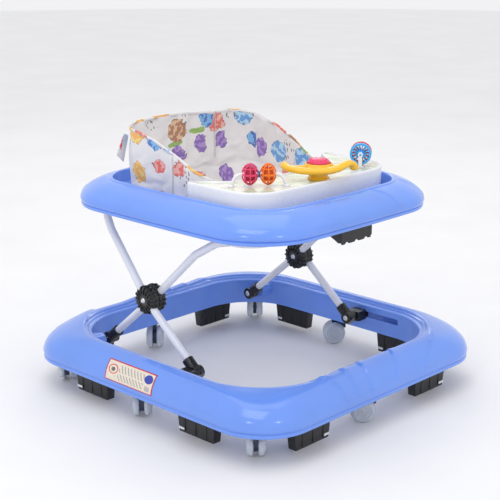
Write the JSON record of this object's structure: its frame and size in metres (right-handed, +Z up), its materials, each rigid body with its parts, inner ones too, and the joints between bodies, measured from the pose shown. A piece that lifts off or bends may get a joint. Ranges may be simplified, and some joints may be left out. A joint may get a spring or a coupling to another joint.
{
  "type": "baby walker",
  "caption": "Baby walker: castored base ring, folding scissor leg frame, upper ring with a toy tray, and a fabric sling seat with a backrest.",
  "frame": {"origin": "on the floor under the middle of the base ring", "axes": "+Z up, the child faces -Y, +X is towards the child's left"},
  "size_m": [0.65, 0.67, 0.509],
  "materials": {
    "blue_plastic": "glossy",
    "rubber_black": "matte",
    "wheel_clear": "translucent",
    "fork_navy": "glossy",
    "tube_white": "satin",
    "black_plastic": "glossy",
    "rivet_steel": "satin",
    "tray_white": "satin",
    "seat_fabric": "woven print",
    "toy_white": "glossy",
    "toy_yellow": "glossy",
    "toy_pink": "glossy",
    "toy_orange": "glossy",
    "toy_red": "glossy",
    "toy_sky": "glossy",
    "toy_navy": "glossy"
  },
  "bodies": {
    "base": {"base_ring": "blue_plastic", "brake_block_front_left": "rubber_black", "brake_block_front_right": "rubber_black", "brake_block_back_left": "rubber_black", "brake_block_back_right": "rubber_black", "brake_block_left_front": "rubber_black", "brake_block_left_back": "rubber_black", "brake_block_right_front": "rubber_black", "brake_block_right_back": "rubber_black"},
    "rear_frame": {"leg_frame_rear_to_front": "tube_white", "scissor_hub_inner_left": "black_plastic", "scissor_hub_inner_right": "black_plastic", "rear_foot_cap_left": "black_plastic", "rear_foot_cap_right": "black_plastic", "rear_foot_pin_left": "rivet_steel", "rear_foot_pin_right": "rivet_steel"},
    "side_legs": {"side_leg_left": "tube_white", "side_leg_right": "tube_white", "scissor_hub_outer_left": "black_plastic", "scissor_hub_outer_right": "black_plastic", "hub_rivet_left": "rivet_steel", "hub_rivet_right": "rivet_steel", "front_foot_cap_left": "black_plastic", "front_foot_cap_right": "black_plastic", "front_foot_pin_left": "rivet_steel", "front_foot_pin_right": "rivet_steel", "top_pivot_cap_left": "black_plastic", "top_pivot_cap_right": "black_plastic"},
    "slider_left": {"slider_block_left": "black_plastic"},
    "slider_right": {"slider_block_right": "black_plastic"},
    "top": {"upper_ring": "blue_plastic", "height_adjuster": "black_plastic", "toy_tray": "tray_white", "fabric_seat": "seat_fabric", "bead_arch": "toy_white", "bead_spacer": "toy_navy", "steering_column": "toy_yellow", "roller_bracket": "toy_white"},
    "pink_bead": {"bead_pink": "toy_pink"},
    "orange_bead": {"bead_orange": "toy_orange"},
    "steering": {"steering_wheel": "toy_yellow"},
    "horn": {"horn_button": "toy_pink"},
    "roller": {"roller_disc_blue": "toy_sky", "roller_disc_red": "toy_red"},
    "swivel_front_left": {"castor_fork_front_left": "fork_navy"},
    "wheels_front_left": {"castor_wheels_front_left": "wheel_clear"},
    "swivel_front_right": {"castor_fork_front_right": "fork_navy"},
    "wheels_front_right": {"castor_wheels_front_right": "wheel_clear"},
    "swivel_back_left": {"castor_fork_back_left": "fork_navy"},
    "wheels_back_left": {"castor_wheels_back_left": "wheel_clear"},
    "swivel_back_right": {"castor_fork_back_right": "fork_navy"},
    "wheels_back_right": {"castor_wheels_back_right": "wheel_clear"},
    "swivel_mid_front": {"castor_fork_mid_front": "fork_navy"},
    "wheels_mid_front": {"castor_wheels_mid_front": "wheel_clear"},
    "swivel_mid_back": {"castor_fork_mid_back": "fork_navy"},
    "wheels_mid_back": {"castor_wheels_mid_back": "wheel_clear"},
    "swivel_mid_left": {"castor_fork_mid_left": "fork_navy"},
    "wheels_mid_left": {"castor_wheels_mid_left": "wheel_clear"},
    "swivel_mid_right": {"castor_fork_mid_right": "fork_navy"},
    "wheels_mid_right": {"castor_wheels_mid_right": "wheel_clear"}
  },
  "joints": [
    {"name": "fold", "type": "hinge", "parent": "base", "child": "rear_frame", "pos_m": [0, 0.205, 0.092], "axis": [1, 0, 0], "range_deg": [0, 31]},
    {"name": "scissor", "type": "hinge", "parent": "rear_frame", "child": "side_legs", "pos_m": [0, 0.0725, 0.203], "axis": [1, 0, 0], "range_deg": [-62, 0]},
    {"name": "ring_level", "type": "hinge", "parent": "side_legs", "child": "top", "pos_m": [0, 0.183, 0.381], "axis": [1, 0, 0], "range_deg": [0, 31]},
    {"name": "slider_turn_left", "type": "hinge", "parent": "side_legs", "child": "slider_left", "pos_m": [-0.245, -0.06, 0.092], "axis": [1, 0, 0], "range_deg": [0, 31]},
    {"name": "slider_turn_right", "type": "hinge", "parent": "side_legs", "child": "slider_right", "pos_m": [0.245, -0.06, 0.092], "axis": [1, 0, 0], "range_deg": [0, 31]},
    {"name": "steering_turn", "type": "hinge", "parent": "top", "child": "steering", "pos_m": [0, -0.16, 0.455], "axis": [0, 0, 1], "continuous": true},
    {"name": "horn_press", "type": "slide", "parent": "steering", "child": "horn", "axis": [0, 0, -1], "range_m": [0, 0.0025], "stiffness_N_per_m": 400},
    {"name": "pink_bead_spin", "type": "hinge", "parent": "top", "child": "pink_bead", "pos_m": [-0.13521, -0.11611, 0.459], "axis": [0.7463, -0.6656, 0], "continuous": true},
    {"name": "orange_bead_spin", "type": "hinge", "parent": "top", "child": "orange_bead", "pos_m": [-0.11079, -0.13789, 0.459], "axis": [0.7463, -0.6656, 0], "continuous": true},
    {"name": "roller_spin", "type": "hinge", "parent": "top", "child": "roller", "pos_m": [0.14, -0.145, 0.462], "axis": [0.806, 0.592, 0], "continuous": true},
    {"name": "swivel_front_left", "type": "hinge", "parent": "base", "child": "swivel_front_left", "pos_m": [-0.272, -0.262, 0.07], "axis": [0, 0, 1], "continuous": true},
    {"name": "roll_front_left", "type": "hinge", "parent": "swivel_front_left", "child": "wheels_front_left", "pos_m": [-0.25905, -0.2495, 0.024], "axis": [-0.6947, 0.7193, 0], "continuous": true},
    {"name": "swivel_front_right", "type": "hinge", "parent": "base", "child": "swivel_front_right", "pos_m": [0.272, -0.262, 0.07], "axis": [0, 0, 1], "continuous": true},
    {"name": "roll_front_right", "type": "hinge", "parent": "swivel_front_right", "child": "wheels_front_right", "pos_m": [0.25821, -0.25043, 0.024], "axis": [-0.6428, -0.766, 0], "continuous": true},
    {"name": "swivel_back_left", "type": "hinge", "parent": "base", "child": "swivel_back_left", "pos_m": [-0.272, 0.262, 0.07], "axis": [0, 0, 1], "continuous": true},
    {"name": "roll_back_left", "type": "hinge", "parent": "swivel_back_left", "child": "wheels_back_left", "pos_m": [-0.25905, 0.2745, 0.024], "axis": [-0.6947, 0.7193, 0], "continuous": true},
    {"name": "swivel_back_right", "type": "hinge", "parent": "base", "child": "swivel_back_right", "pos_m": [0.272, 0.262, 0.07], "axis": [0, 0, 1], "continuous": true},
    {"name": "roll_back_right", "type": "hinge", "parent": "swivel_back_right", "child": "wheels_back_right", "pos_m": [0.28495, 0.2745, 0.024], "axis": [-0.6947, 0.7193, 0], "continuous": true},
    {"name": "swivel_mid_front", "type": "hinge", "parent": "base", "child": "swivel_mid_front", "pos_m": [0, -0.3, 0.07], "axis": [0, 0, 1], "continuous": true},
    {"name": "roll_mid_front", "type": "hinge", "parent": "swivel_mid_front", "child": "wheels_mid_front", "pos_m": [-0.01273, -0.28727, 0.024], "axis": [-0.7071, -0.7071, 0], "continuous": true},
    {"name": "swivel_mid_back", "type": "hinge", "parent": "base", "child": "swivel_mid_back", "pos_m": [0, 0.3, 0.07], "axis": [0, 0, 1], "continuous": true},
    {"name": "roll_mid_back", "type": "hinge", "parent": "swivel_mid_back", "child": "wheels_mid_back", "pos_m": [-0.01295, 0.2875, 0.024], "axis": [0.6947, -0.7193, 0], "continuous": true},
    {"name": "swivel_mid_left", "type": "hinge", "parent": "base", "child": "swivel_mid_left", "pos_m": [-0.29, 0.015, 0.07], "axis": [0, 0, 1], "continuous": true},
    {"name": "roll_mid_left", "type": "hinge", "parent": "swivel_mid_left", "child": "wheels_mid_left", "pos_m": [-0.27705, 0.0275, 0.024], "axis": [-0.6947, 0.7193, 0], "continuous": true},
    {"name": "swivel_mid_right", "type": "hinge", "parent": "base", "child": "swivel_mid_right", "pos_m": [0.29, 0.015, 0.07], "axis": [0, 0, 1], "continuous": true},
    {"name": "roll_mid_right", "type": "hinge", "parent": "swivel_mid_right", "child": "wheels_mid_right", "pos_m": [0.2775, 0.02795, 0.024], "axis": [-0.7193, -0.6947, 0], "continuous": true}
  ],
  "couplings": [
    {"joint": "scissor", "follows": "fold", "ratio": -2},
    {"joint": "ring_level", "follows": "fold", "ratio": 1},
    {"joint": "slider_turn_left", "follows": "fold", "ratio": 1},
    {"joint": "slider_turn_right", "follows": "fold", "ratio": 1}
  ]
}
